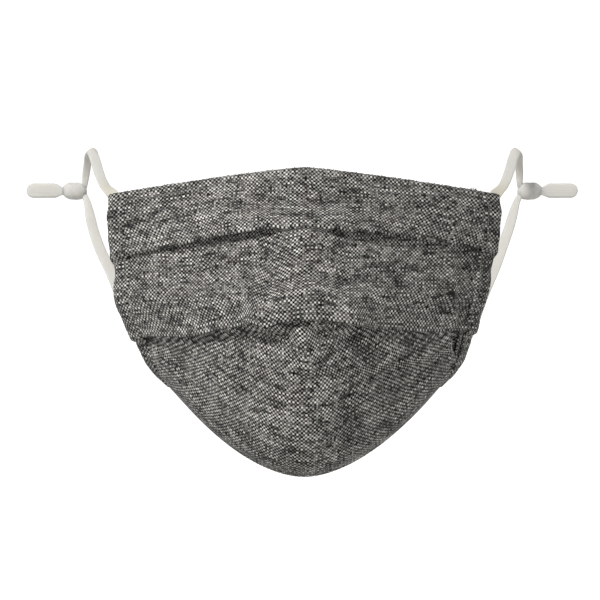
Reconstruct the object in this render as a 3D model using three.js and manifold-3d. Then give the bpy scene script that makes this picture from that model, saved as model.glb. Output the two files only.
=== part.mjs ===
import * as THREE from 'three';
import { mergeVertices } from 'three/addons/utils/BufferGeometryUtils.js';
import Module from 'manifold-3d';

// Pleated cloth face mask in the form it has when worn, in millimetres.
// +X is to the right of someone who looks at its front, the front faces -Y and +Z is up.
// The origin is the middle of the top edge, on the inside of the cloth, where it sits on the nose.

// Sizes of the mask
const maskWidth = 145.2; // across the outer edges of the two side casings at the top
const maskHeight = 113; // top edge to the lowest point under the chin
const maskDepth = 84; // unit of the depths below, about the way from the nose tip to the back corners
const clothWall = 1.0; // two plies of cotton linen sewn as one
const layerGap = 0.35; // air between two layers of a fold
const clearance = 0.3; // between separate pieces that touch
const hemDepth = 5.0; // turned to the inside along the top and the bottom edge
const firstPleatDepth = 11.0; // cloth hidden behind the upper pleat at the sides
const secondPleatDepth = 11.0; // the same for the lower pleat
const secondPleatMiddle = 4.0; // what is still folded there in front of the mouth
const pleatRamp = 12.0; // length over which a panel rises to lie over the next one
const ridgeRound = 0.1; // roundness of the nose ridge, as a share of half the width

// Sizes of the side casings, the ear loops and their knots
const casingOverlap = 3.0; // how far a casing reaches over the body's raw side edge
const casingCut = 6.3; // how much shorter a casing is on the inside, where the elastic comes out
const casingStep = 3.5; // length over which a flap comes down below a pleat
const elasticWidth = 4.6;
const elasticThickness = 1.0;
const channelSlack = 1.2; // room beside the elastic in its channel
const loopReach = 35; // from the mask's top corner back to the top of the ear
const loopRise = 18.2; // height of the loop over that corner
const loopSpread = 6.8; // how far the loop's top stands further out than the corner
const strandBow = 5; // how far the lower strand bows outwards
const strandTurn = 2.6; // how far the elastic's turn at the casing's lower end reaches back
const gathered = 0.6; // share of the elastic's width that is left at the knot
const neckLength = 3.4; // from the knot's lump to where the strands come apart
const neckHeight = 3.0;
const knotLength = 8.4;
const knotHeight = 6.6;
const knotDepth = 5.8;
const knotDrop = 16.2; // from the loop's top down to the knot
const knotSpread = 6.2; // from the loop's top out to the knot's middle
const knotReach = 10; // from the loop's top back to the knot
const tailLength = 17.6; // from the knot's middle to the end of the looped tail
const tailHeight = 5.2;

// How finely the curved pieces are faceted
const bodyColumns = 36;
const columnCrowding = 1.25; // draws the columns towards the nose, where the first pleat opens
const foldSteps = 3;
const hemSteps = 4;
const panelRows = 5; // rows of the upper and the middle panel
const hiddenRows = 2; // rows of each layer behind a pleat's edge
const chinRows = 8; // rows of the bottom panel
const lengthSteps = 60;
const strapSteps = 3; // facets between two points of the elastic's route
const channelStops = 12; // points of that route inside the casing

const layerPitch = clothWall + layerGap;
const foldRadius = layerPitch / 2;
const seatDepth = layerPitch + clothWall / 2; // the hem's inner face lies on the origin
const casingLift = clothWall + clearance; // from the middle of the body's cloth to the middle of a flap
const channelWidth = elasticWidth + channelSlack;
const casingReach = channelWidth + casingLift + clothWall / 2; // raw side edge to the casing's outer edge

// Rows of the face's form from the top edge to the chin. front and back are the depths at the middle and
// at the sides as shares of the mask's depth, drop and sideDrop shares of its height, and width a share of
// its width. ridge says how much of the wrap is the nose ridge, and bend how late the row dips sideways.
const formRows = [
  { name: 'top edge', front: 0.000, drop: 0.000, width: 1.000, back: 0.620, sideDrop: 0.084, ridge: 0.50, bend: 1.2 },
  { name: 'bridge', front: -0.085, drop: 0.106, width: 0.985, back: 0.605, sideDrop: 0.180, ridge: 0.50, bend: 1.2 },
  { name: 'first pleat', front: -0.180, drop: 0.200, width: 0.968, back: 0.585, sideDrop: 0.283, ridge: 0.50, bend: 1.2 },
  { name: 'nose', front: -0.285, drop: 0.335, width: 0.938, back: 0.540, sideDrop: 0.400, ridge: 0.45, bend: 1.2 },
  { name: 'nose tip', front: -0.340, drop: 0.425, width: 0.898, back: 0.525, sideDrop: 0.470, ridge: 0.38, bend: 1.2 },
  { name: 'second pleat', front: -0.350, drop: 0.505, width: 0.862, back: 0.530, sideDrop: 0.538, ridge: 0.30, bend: 1.2 },
  { name: 'mouth', front: -0.335, drop: 0.630, width: 0.845, back: 0.545, sideDrop: 0.572, ridge: 0.22, bend: 1.4 },
  { name: 'lower lip', front: -0.300, drop: 0.755, width: 0.825, back: 0.555, sideDrop: 0.605, ridge: 0.17, bend: 1.6 },
  { name: 'chin', front: -0.235, drop: 0.870, width: 0.800, back: 0.565, sideDrop: 0.633, ridge: 0.14, bend: 1.7 },
  { name: 'chin fold', front: -0.140, drop: 0.955, width: 0.772, back: 0.575, sideDrop: 0.652, ridge: 0.12, bend: 1.78 },
  { name: 'bottom edge', front: -0.030, drop: 1.000, width: 0.745, back: 0.585, sideDrop: 0.664, ridge: 0.12, bend: 1.8 },
];
const rowColumns = ['front', 'drop', 'width', 'back', 'sideDrop', 'ridge', 'bend'];
const rowAlong = formRows.map((row, index) => index / (formRows.length - 1));
const rowValues = formRows.flatMap((row) => rowColumns.map((column) => row[column]));
const rowCurve = new THREE.CubicInterpolant(rowAlong, rowValues, rowColumns.length, []);
const alongOf = (name) => rowAlong[formRows.findIndex((row) => row.name === name)];

// Point of the form: across runs from -1 to 1 between the casings' outer edges, along from 0 to 1 downwards
function formPoint(across, along) {
  const [front, drop, width, back, sideDrop, ridge, bend] = rowCurve.evaluate(along);
  const side = Math.abs(across);
  const ridgeRise = (Math.hypot(side, ridgeRound) - ridgeRound) / (Math.hypot(1, ridgeRound) - ridgeRound);
  const wrap = ridge * ridgeRise + (1 - ridge) * side ** 2;
  return new THREE.Vector3(
    across * width * maskWidth / 2,
    (front + (back - front) * wrap) * maskDepth - seatDepth,
    -(drop + (sideDrop - drop) * side ** bend) * maskHeight,
  );
}

// Free stretches of an ear loop. way is the share of the straight way between their ends, out, back and rise
// say how far a stop stands off it, and gather is the share of the elastic's width.
const lowerStrand = [
  { way: 0.06, out: 0.0, back: 0.0, gather: 0.7 },
  { way: 0.16, out: 0.2, back: 0.2, gather: 1.0 },
  { way: 0.32, out: 0.6, back: 0.4, gather: 1.0 },
  { way: 0.50, out: 1.0, back: 0.5, gather: 1.0 },
  { way: 0.68, out: 1.0, back: 0.5, gather: 1.0 },
  { way: 0.86, out: 0.6, back: 0.3, gather: 1.0 },
];
const upperStrand = [
  { way: 0.25, out: 0.3, rise: 1.0 },
  { way: 0.50, out: 0.4, rise: 1.6 },
  { way: 0.75, out: 0.3, rise: 1.8 },
  { way: 0.93, out: 0.1, rise: 1.2 },
];
const returnStrand = [
  { way: 0.14, back: 1.8, gather: 1.0 },
  { way: 0.40, back: 2.6, gather: 1.0 },
  { way: 0.70, back: 1.4, gather: 0.9 },
  { way: 0.90, back: 0.3, gather: 0.7 },
];

// The body's cloth on the form: share is 1 at its raw right side edge, which ends inside the casing
const probe = 1e-3;

function formStretch(along) {
  return formPoint(1 + probe, along).distanceTo(formPoint(1 - probe, along)) / (2 * probe);
}

function edgeShare(along) {
  return 1 - casingReach / formStretch(along);
}

function clothPoint(share, along) {
  return formPoint(share * edgeShare(along), along);
}

function clothFrame(share, along) {
  const start = Math.max(along - probe, 0);
  const end = Math.min(along + probe, 1);
  const outward = clothPoint(share + probe, along).sub(clothPoint(share - probe, along)).normalize();
  const down = clothPoint(share, end).sub(clothPoint(share, start)).normalize();
  const normal = new THREE.Vector3().crossVectors(down, outward).normalize();
  return { outward, down, normal };
}

function placeOnCloth(share, along, height) {
  return clothPoint(share, along).addScaledVector(clothFrame(share, along).normal, height);
}

// Lengths down one column of the cloth, and the way back from a length to a place
function columnRuler(share) {
  const lengths = [0];
  let last = clothPoint(share, 0);
  for (let step = 1; step <= lengthSteps; step += 1) {
    const next = clothPoint(share, step / lengthSteps);
    lengths.push(lengths[step - 1] + next.distanceTo(last));
    last = next;
  }
  const lengthAt = (along) => {
    const step = Math.min(Math.floor(along * lengthSteps), lengthSteps - 1);
    return THREE.MathUtils.lerp(lengths[step], lengths[step + 1], along * lengthSteps - step);
  };
  const alongAt = (length) => {
    const found = lengths.findIndex((reached) => reached > length);
    const step = found < 0 ? lengthSteps - 1 : Math.max(found - 1, 0);
    return (step + (length - lengths[step]) / (lengths[step + 1] - lengths[step])) / lengthSteps;
  };
  return { lengthAt, alongAt, total: lengths[lengthSteps] };
}

// Pleats: how deep and how far closed each one is, from the middle of the face to the sides
const pleats = [
  {
    row: 'first pleat',
    depthOf: (side) => firstPleatDepth * THREE.MathUtils.smoothstep(side, 0.08, 0.5),
    turnOf: (side) => THREE.MathUtils.lerp(20, 180, THREE.MathUtils.smoothstep(side, 0.05, 0.22)),
    softnessOf: (side) => THREE.MathUtils.lerp(2.2, 1, THREE.MathUtils.smoothstep(side, 0.05, 0.22)),
  },
  {
    row: 'second pleat',
    depthOf: (side) => THREE.MathUtils.lerp(
      secondPleatMiddle, secondPleatDepth, THREE.MathUtils.smoothstep(side, 0.1, 0.6)),
    turnOf: (side) => THREE.MathUtils.lerp(170, 180, THREE.MathUtils.smoothstep(side, 0.05, 0.3)),
    softnessOf: (side) => THREE.MathUtils.lerp(1.3, 1, THREE.MathUtils.smoothstep(side, 0.05, 0.3)),
  },
];

// Points of an arc in the plane of length and height, from a heading in degrees over a turn
function arcPoints(start, heading, turn, radius, steps) {
  const points = [];
  const bend = Math.sign(turn);
  const centreAngle = THREE.MathUtils.degToRad(heading + 90 * bend);
  const centre = {
    length: start.length + radius * Math.cos(centreAngle),
    height: start.height + radius * Math.sin(centreAngle),
  };
  for (let step = 0; step <= steps; step += 1) {
    const angle = heading + turn * step / steps;
    const spoke = THREE.MathUtils.degToRad(angle - 90 * bend);
    points.push({
      length: centre.length + radius * Math.cos(spoke),
      height: centre.height + radius * Math.sin(spoke),
      heading: angle,
    });
  }
  return points;
}

// A flat panel that rises smoothly over its ramp to the height of the next pleat
function panelPoints(lengths, rise, rampStart, rampEnd) {
  return lengths.map((length) => {
    const share = THREE.MathUtils.clamp((length - rampStart) / (rampEnd - rampStart), 0, 1);
    const slope = rise * 6 * share * (1 - share) / (rampEnd - rampStart);
    return {
      length,
      height: rise * share ** 2 * (3 - 2 * share),
      heading: THREE.MathUtils.radToDeg(Math.atan(slope)),
      outer: true,
    };
  });
}

function between(from, to, heading) {
  return Array.from({ length: hiddenRows }, (unused, index) => {
    const share = (index + 1) / (hiddenRows + 1);
    return {
      length: THREE.MathUtils.lerp(from.length, to.length, share),
      height: THREE.MathUtils.lerp(from.height, to.height, share),
      heading,
    };
  });
}

function spread(from, to, count) {
  return Array.from({ length: count }, (unused, index) => THREE.MathUtils.lerp(from, to, (index + 0.5) / count));
}

// The middle line of the folded cloth down one column: inside hem, three panels with two pleats, inside hem
function columnPath(share) {
  const side = Math.abs(share);
  const ruler = columnRuler(share);
  const hemTurn = foldRadius + clothWall / 2;
  const path = [{ length: hemDepth, height: -layerPitch, heading: 180 }];
  path.push(...arcPoints({ length: hemTurn, height: -layerPitch }, 180, -180, foldRadius, hemSteps));
  let panelStart = hemTurn;
  let edge = 0;
  for (const pleat of pleats) {
    const turn = pleat.turnOf(side);
    const radius = foldRadius * pleat.softnessOf(side);
    const hidden = pleat.depthOf(side);
    const radians = THREE.MathUtils.degToRad(turn);
    const rise = 2 * radius * (1 - Math.cos(radians)) + hidden * Math.sin(radians);
    const nextEdge = ruler.lengthAt(alongOf(pleat.row));
    const foldStart = nextEdge - radius - clothWall / 2;
    const rampEnd = foldStart - hidden - layerPitch;
    const rampStart = Math.max(rampEnd - pleatRamp, edge + clothWall);
    path.push(...panelPoints(spread(Math.max(panelStart, edge), foldStart, panelRows), rise, rampStart, rampEnd));
    const fold = arcPoints({ length: foldStart, height: rise }, 0, -turn, radius, foldSteps);
    fold[0].outer = true;
    const top = fold[foldSteps];
    const foldBack = {
      length: top.length + hidden * Math.cos(radians),
      height: top.height - hidden * Math.sin(radians),
    };
    const foldForward = arcPoints(foldBack, -turn, turn, radius, foldSteps);
    panelStart = foldForward[foldSteps].length;
    edge = Math.max(nextEdge, panelStart) + clothWall;
    path.push(...fold, ...between(top, foldBack, -turn), ...foldForward);
    path.push(...between(foldForward[foldSteps], { length: edge, height: 0 }, 0));
  }
  const bottomTurn = ruler.total - hemTurn;
  const chin = panelPoints(spread(edge, bottomTurn, chinRows), 0, edge, bottomTurn);
  path.push(...chin, ...arcPoints({ length: bottomTurn, height: 0 }, 0, -180, foldRadius, hemSteps));
  path.push({ length: ruler.total - hemDepth, height: -layerPitch, heading: 180 });
  return { path, ruler };
}

// A wall of cloth or elastic: a thin box whose corners are placed one by one, welded and turned outwards
function wallGeometry(columns, rows, place) {
  const box = new THREE.BoxGeometry(1, 1, 1, columns, rows, 1);
  const corners = box.getAttribute('position');
  for (let index = 0; index < corners.count; index += 1) {
    const column = Math.round((corners.getX(index) + 0.5) * columns);
    const row = Math.round((corners.getY(index) + 0.5) * rows);
    const point = place(column, row, Math.sign(corners.getZ(index)));
    corners.setXYZ(index, point.x, point.y, point.z);
  }
  return facingOut(welded(box));
}

function welded(geometry) {
  geometry.deleteAttribute('normal');
  geometry.deleteAttribute('uv');
  return mergeVertices(geometry, 1e-4);
}

function facingOut(geometry) {
  const corners = geometry.getAttribute('position');
  const index = geometry.getIndex();
  const [a, b, c] = [new THREE.Vector3(), new THREE.Vector3(), new THREE.Vector3()];
  let volume = 0;
  for (let first = 0; first < index.count; first += 3) {
    a.fromBufferAttribute(corners, index.getX(first));
    b.fromBufferAttribute(corners, index.getX(first + 1));
    c.fromBufferAttribute(corners, index.getX(first + 2));
    volume += a.dot(b.cross(c));
  }
  if (volume < 0) {
    index.array.reverse();
  }
  geometry.computeVertexNormals();
  return geometry;
}

function mirrored(geometry) {
  return facingOut(geometry.clone().scale(-1, 1, 1));
}

// Body: one pleated sheet of cloth with a wall of even thickness
function bodyGeometry() {
  const columns = Array.from({ length: bodyColumns + 1 }, (unused, index) => {
    const even = 2 * index / bodyColumns - 1;
    const share = Math.sign(even) * Math.abs(even) ** columnCrowding;
    return { share, ...columnPath(share) };
  });
  const rows = columns[0].path.length - 1;
  return wallGeometry(bodyColumns, rows, (column, row, face) => {
    const { share, path, ruler } = columns[column];
    const { length, height, heading } = path[row];
    const angle = THREE.MathUtils.degToRad(heading);
    const lift = face * clothWall / 2;
    return placeOnCloth(share, ruler.alongAt(length - lift * Math.sin(angle)), height + lift * Math.cos(angle));
  });
}

// Right side casing: a strip folded round the raw side edge, over the pleats' ends, open at both ends.
// Its front flap steps down below each pleat, and its inner flap is cut shorter for the elastic.
function casingGeometry() {
  const { path, ruler } = columnPath(1);
  const stations = [{ length: 0, height: 0 }];
  let stepEnd = 0;
  for (const { length, height } of path.filter((point) => point.outer)) {
    const last = stations[stations.length - 1];
    if (height < last.height - layerGap) {
      const stepStart = last.length + foldRadius + clothWall / 2 + clearance;
      stepEnd = stepStart + casingStep;
      stations.push({ length: stepStart, height: last.height }, { length: stepEnd, height });
    }
    if (length > stepEnd + clearance) {
      stations.push({ length, height });
    }
  }
  stations.push({ length: ruler.total, height: 0 });

  const outerTurn = 4;
  const section = [{ reach: -casingOverlap, front: 1, heading: 0 }];
  for (let step = 0; step <= outerTurn; step += 1) {
    const angle = 180 * step / outerTurn;
    const spoke = THREE.MathUtils.degToRad(90 - angle);
    section.push({
      reach: channelWidth + casingLift * Math.cos(spoke),
      front: (1 + Math.sin(spoke)) / 2,
      heading: -angle,
    });
  }
  section.push({ reach: -casingOverlap, front: 0, heading: -180 });

  return wallGeometry(stations.length - 1, section.length - 1, (column, row, face) => {
    const { length, height } = stations[column];
    const { reach, front, heading } = section[row];
    const angle = THREE.MathUtils.degToRad(heading);
    const lift = face * clothWall / 2;
    const inside = casingCut + (ruler.total - 2 * casingCut) * length / ruler.total;
    const along = ruler.alongAt(THREE.MathUtils.lerp(inside, length, front));
    const outwards = reach - lift * Math.sin(angle);
    const share = 1 + outwards / (formStretch(along) * edgeShare(along));
    const middle = THREE.MathUtils.lerp(-casingLift, height + casingLift, front);
    return placeOnCloth(share, along, middle + lift * Math.cos(angle));
  });
}

// Right ear loop: a flat elastic from the knot down behind the cheek, up through the casing's channel,
// over the ear and back to the knot. Near the knot it is gathered to a part of its width.
const topCorner = formPoint(1, 0);
const loopTop = topCorner.clone().add(new THREE.Vector3(loopSpread, loopReach, loopRise));
const knotMiddle = loopTop.clone().add(new THREE.Vector3(knotSpread, knotReach, -knotDrop));
const neckMiddle = knotMiddle.clone().add(new THREE.Vector3(-knotLength / 2 - neckLength / 2, 0, 0));

function channelStop(length, ruler, height, aside = 0) {
  const along = ruler.alongAt(length);
  const share = 1 + (channelWidth / 2 + aside) / (formStretch(along) * edgeShare(along));
  return { point: placeOnCloth(share, along, height), wide: clothFrame(share, along).outward, gather: 1 };
}

function freeStop(x, y, z, gather) {
  return { point: new THREE.Vector3(x, y, z), wide: new THREE.Vector3(1, 0, 0), gather };
}

function loopRoute() {
  const ruler = columnRuler(1);
  const exitHigh = casingCut / 3;
  const exitLow = ruler.total - casingCut / 3;
  const strandStart = neckMiddle.clone().setZ(neckMiddle.z - neckHeight / 2 - 2 * clearance);
  const strandEnd = neckMiddle.clone().setZ(neckMiddle.z + neckHeight / 2 + 2 * clearance);
  const below = channelStop(exitLow, ruler, -strandTurn).point;
  const above = channelStop(exitHigh, ruler, -clearance, clearance / 2);
  const route = [freeStop(strandStart.x, strandStart.y, strandStart.z, gathered)];
  for (const { way, out, back, gather } of lowerStrand) {
    const point = strandStart.clone().lerp(below, way);
    route.push(freeStop(point.x + out * strandBow, point.y + back * strandBow, point.z, gather));
  }
  route.push(
    channelStop(exitLow - strandTurn / 2, ruler, -strandTurn - elasticThickness, clearance),
    channelStop(exitLow + elasticThickness / 2, ruler, -strandTurn / 2, clearance),
    channelStop(exitLow - elasticThickness, ruler, -clearance / 2, clearance),
  );
  for (let stop = channelStops; stop > 0; stop -= 1) {
    const length = THREE.MathUtils.lerp(casingCut, exitLow - casingCut, stop / channelStops);
    route.push(channelStop(length, ruler, 0));
  }
  route.push(above);
  for (const { way, out, rise } of upperStrand) {
    const point = above.point.clone().lerp(loopTop, way);
    route.push(freeStop(point.x + out, point.y, point.z + rise, 1));
  }
  route.push(freeStop(loopTop.x, loopTop.y, loopTop.z, 1));
  for (const { way, back, gather } of returnStrand) {
    const point = loopTop.clone().lerp(strandEnd, way);
    route.push(freeStop(point.x, point.y + back, point.z, gather));
  }
  route.push(freeStop(strandEnd.x, strandEnd.y, strandEnd.z, gathered));
  return route;
}

function loopGeometry() {
  const route = loopRoute();
  const curve = new THREE.CatmullRomCurve3(route.map((stop) => stop.point), false, 'centripetal');
  const legs = route.length - 1;
  return wallGeometry(legs * strapSteps, 1, (column, row, face) => {
    const way = column / (legs * strapSteps);
    const leg = Math.min(Math.floor(way * legs), legs - 1);
    const share = way * legs - leg;
    const point = curve.getPoint(way);
    const ahead = curve.getTangent(way);
    const wide = route[leg].wide.clone().lerp(route[leg + 1].wide, share);
    wide.addScaledVector(ahead, -wide.dot(ahead)).normalize();
    const thick = new THREE.Vector3().crossVectors(ahead, wide);
    const width = elasticWidth * THREE.MathUtils.lerp(route[leg].gather, route[leg + 1].gather, share);
    point.addScaledVector(wide, (row - 0.5) * width);
    return point.addScaledVector(thick, face * elasticThickness / 2);
  });
}

// Right knot: the lump of the doubled elastic with its looped tail, one body
function solidOf(geometry) {
  const plain = facingOut(welded(geometry));
  return new wasm.Manifold(new wasm.Mesh({
    numProp: 3,
    vertProperties: new Float32Array(plain.getAttribute('position').array),
    triVerts: new Uint32Array(plain.getIndex().array),
  }));
}

function geometryOf(solid) {
  const mesh = solid.getMesh();
  const geometry = new THREE.BufferGeometry();
  geometry.setAttribute('position', new THREE.BufferAttribute(new Float32Array(mesh.vertProperties), 3));
  geometry.setIndex(new THREE.BufferAttribute(new Uint32Array(mesh.triVerts), 1));
  geometry.computeVertexNormals();
  return geometry;
}

function knotGeometry() {
  const lump = new THREE.SphereGeometry(0.5, 14, 9);
  lump.scale(knotLength, knotDepth, knotHeight);
  const tailShape = new THREE.Shape();
  const tailRound = tailHeight / 2;
  const waist = tailHeight * 0.32;
  tailShape.moveTo(0, -waist);
  tailShape.lineTo(knotLength / 2, -waist);
  tailShape.lineTo(knotLength * 0.75, -tailRound);
  tailShape.lineTo(tailLength - tailRound, -tailRound);
  tailShape.absarc(tailLength - tailRound, 0, tailRound, -Math.PI / 2, Math.PI / 2, false);
  tailShape.lineTo(knotLength * 0.75, tailRound);
  tailShape.lineTo(knotLength / 2, waist);
  tailShape.lineTo(0, waist);
  tailShape.closePath();
  const tailDepth = 2 * elasticThickness + layerGap;
  const tail = new THREE.ExtrudeGeometry(tailShape, { depth: tailDepth, bevelEnabled: false, curveSegments: 6 });
  tail.rotateX(Math.PI / 2).translate(0, tailDepth / 2, 0);
  const neck = new THREE.SphereGeometry(0.5, 10, 8);
  neck.scale(neckLength * 2, elasticThickness * 3, neckHeight).translate(-knotLength / 2 - neckLength / 4, 0, 0);
  const knot = geometryOf(solidOf(lump).add(solidOf(tail)).add(solidOf(neck)));
  return knot.translate(knotMiddle.x, knotMiddle.y, knotMiddle.z);
}

// The assembly
const wasm = await Module();
wasm.setup();

const clothLook = { color: 0x70706c, roughness: 0.95, metalness: 0 };
const casingLook = { color: 0x656562, roughness: 0.95, metalness: 0 };
const elasticLook = { color: 0xd9d7d2, roughness: 0.85, metalness: 0 };

const mask = new THREE.Group();
mask.name = 'cloth_face_mask';

function addPiece(name, geometry, look) {
  const piece = new THREE.Mesh(geometry, new THREE.MeshStandardMaterial(look));
  piece.name = name;
  mask.add(piece);
}

addPiece('mask_body', bodyGeometry(), clothLook);
const pairs = [
  { name: 'side_casing', geometry: casingGeometry(), look: casingLook },
  { name: 'ear_loop', geometry: loopGeometry(), look: elasticLook },
  { name: 'ear_knot', geometry: knotGeometry(), look: elasticLook },
];
for (const { name, geometry, look } of pairs) {
  addPiece(`${name}_right`, geometry, look);
  addPiece(`${name}_left`, mirrored(geometry), look);
}

export default mask;
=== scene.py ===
import functools
import math
import random

import bmesh
import bpy
import numpy as np
from mathutils import Matrix, Vector, noise


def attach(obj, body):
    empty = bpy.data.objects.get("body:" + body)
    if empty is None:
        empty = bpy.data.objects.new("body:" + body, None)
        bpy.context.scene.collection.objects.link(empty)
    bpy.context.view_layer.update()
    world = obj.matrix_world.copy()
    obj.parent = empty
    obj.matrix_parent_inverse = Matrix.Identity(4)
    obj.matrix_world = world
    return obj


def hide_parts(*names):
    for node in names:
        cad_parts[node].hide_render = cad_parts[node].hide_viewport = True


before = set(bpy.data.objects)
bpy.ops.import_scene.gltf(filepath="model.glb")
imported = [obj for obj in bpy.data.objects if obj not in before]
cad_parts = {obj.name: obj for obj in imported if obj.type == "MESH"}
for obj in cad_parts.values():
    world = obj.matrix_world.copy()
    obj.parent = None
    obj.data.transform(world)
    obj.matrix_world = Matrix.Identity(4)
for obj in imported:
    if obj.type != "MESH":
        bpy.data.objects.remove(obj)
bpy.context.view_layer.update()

# Looks of a pleated cloth face mask in its worn form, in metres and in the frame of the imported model.
# +X is to the right of someone who looks at its front, the front faces -Y and +Z is up.
# Points of a surface are kept as an array of rows, columns and the three coordinates.

mm = 0.001
random.seed(14)

# Form of the mask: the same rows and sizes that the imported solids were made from
form = {
    "width": 145.2 * mm,
    "height": 113 * mm,
    "depth": 84 * mm,
    "ridgeRound": 0.1,
    "wall": 1.0 * mm,
    "layerGap": 0.35 * mm,
    "clearance": 0.3 * mm,
}
form["pitch"] = form["wall"] + form["layerGap"]
form["seat"] = form["pitch"] + form["wall"] / 2

formRows = {  # front, drop, width, back, sideDrop, ridge, bend
    "topEdge": (0.000, 0.000, 1.000, 0.620, 0.084, 0.50, 1.2),
    "bridge": (-0.085, 0.106, 0.985, 0.605, 0.180, 0.50, 1.2),
    "firstPleat": (-0.180, 0.200, 0.968, 0.585, 0.283, 0.50, 1.2),
    "nose": (-0.285, 0.335, 0.938, 0.540, 0.400, 0.45, 1.2),
    "noseTip": (-0.340, 0.425, 0.898, 0.525, 0.470, 0.38, 1.2),
    "secondPleat": (-0.350, 0.505, 0.862, 0.530, 0.538, 0.30, 1.2),
    "mouth": (-0.335, 0.630, 0.845, 0.545, 0.572, 0.22, 1.4),
    "lowerLip": (-0.300, 0.755, 0.825, 0.555, 0.605, 0.17, 1.6),
    "chin": (-0.235, 0.870, 0.800, 0.565, 0.633, 0.14, 1.7),
    "chinFold": (-0.140, 0.955, 0.772, 0.575, 0.652, 0.12, 1.78),
    "bottomEdge": (-0.030, 1.000, 0.745, 0.585, 0.664, 0.12, 1.8),
}
rowTable = np.array(list(formRows.values()))
rowTable = np.vstack([2 * rowTable[0] - rowTable[1], rowTable, 2 * rowTable[-1] - rowTable[-2]])


def alongOf(name):
    return list(formRows).index(name) / (len(formRows) - 1)


def rowValues(along):
    place = np.clip(along, 0, 1) * (len(formRows) - 1)
    row = np.minimum(place.astype(int), len(formRows) - 2)
    t = (place - row)[..., None]
    before, start, end, after = (rowTable[row + step] for step in range(4))
    curve = 2 * start + (end - before) * t + (2 * before - 5 * start + 4 * end - after) * t ** 2
    curve = (curve + (3 * start - before - 3 * end + after) * t ** 3) / 2
    return np.moveaxis(curve, -1, 0)


def formPoint(across, along):  # across is 1 at the right casing's outer edge, along 1 at the chin
    front, drop, width, back, sideDrop, ridge, bend = rowValues(along)
    side = np.abs(across)
    soft = form["ridgeRound"]
    ridgeRise = (np.hypot(side, soft) - soft) / (math.hypot(1, soft) - soft)
    wrap = ridge * ridgeRise + (1 - ridge) * side ** 2
    return np.stack([
        across * width * form["width"] / 2,
        (front + (back - front) * wrap) * form["depth"] - form["seat"],
        -(drop + (sideDrop - drop) * side ** bend) * form["height"],
    ], axis=-1)


def lengthOf(vectors):
    return np.linalg.norm(vectors, axis=-1)


def unit(vectors):
    return vectors / np.maximum(lengthOf(vectors), 1e-12)[..., None]


def lengthDown(points):  # length so far at each point of a line, or down each column of a grid
    steps = lengthOf(np.diff(points, axis=0))
    return np.concatenate([np.zeros((1,) + steps.shape[1:]), np.cumsum(steps, axis=0)])


casing = {
    "overlap": 3.0 * mm,  # how far it reaches over the body's raw side edge
    "cut": 6.3 * mm,  # how much shorter it is on the inside, at each end
    "channel": 5.8 * mm,  # width of the elastic's channel
    "lift": 1.3 * mm,  # half the width of its outer turn
    "flapLift": 0.7 * mm,  # from the middle of the body's cloth to the middle of a flap
    "wall": 0.6 * mm,
    "lengthSteps": 130,
    "flapSteps": 14,
    "turnSteps": 12,
    "swell": 0.35 * mm,  # how far the channel bulges over the elastic
    "pucker": 0.1 * mm,
    "puckerPitch": 5.2 * mm,
    "seam": 1.9 * mm,  # stitch line, from the flap's edge
    "seamDip": 0.1 * mm,
    "edgeDip": 0.45 * mm,  # how far the flap's edge is pressed into the cloth
    "softened": 1.5 * mm,  # how far the flap smooths the steps below it
    "weaveStart": (71 * mm, 33 * mm),  # place of its weave, so that it doesn't repeat the body's
}
casing["reach"] = casing["channel"] + casing["lift"] + form["wall"] / 2
probe = 1e-3  # share by which a point is moved to find how fast the form runs there


def formStretch(along):
    one = np.ones_like(along)
    step = formPoint(one * (1 + probe), along) - formPoint(one * (1 - probe), along)
    return lengthOf(step) / (2 * probe)


def edgeShare(along):
    return 1 - casing["reach"] / formStretch(along)


def clothPoint(share, along):  # share is 1 at the body's raw right edge
    return formPoint(share * edgeShare(along), along)


def clothNormal(share, along):
    outward = clothPoint(share + probe, along) - clothPoint(share - probe, along)
    below = clothPoint(share, np.minimum(along + probe, 1))
    above = clothPoint(share, np.maximum(along - probe, 0))
    return unit(np.cross(below - above, outward))


def placeOnCloth(share, along, height):
    return clothPoint(share, along) + clothNormal(share, along) * height[..., None]


rulerSteps = 240
rulerAlong = np.linspace(0, 1, rulerSteps + 1)


def columnRuler(share):  # lengths down one column of the form
    return lengthDown(clothPoint(np.full_like(rulerAlong, share), rulerAlong))


def smooth(value, low, high):
    t = np.clip((value - low) / (high - low), 0, 1)
    return t * t * (3 - 2 * t)


def mix(low, high, share):
    return low + (high - low) * share


def hill(value, centre, spread):
    return np.exp(-((value - centre) / spread) ** 2)


def hills(value, table):  # a sum of soft bumps, each with its centre, spread and height
    return sum(height * hill(value, centre, spread) for centre, spread, height in table)


def curved(value, power):  # a power that keeps the sign
    return np.sign(value) * np.abs(value) ** power


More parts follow.
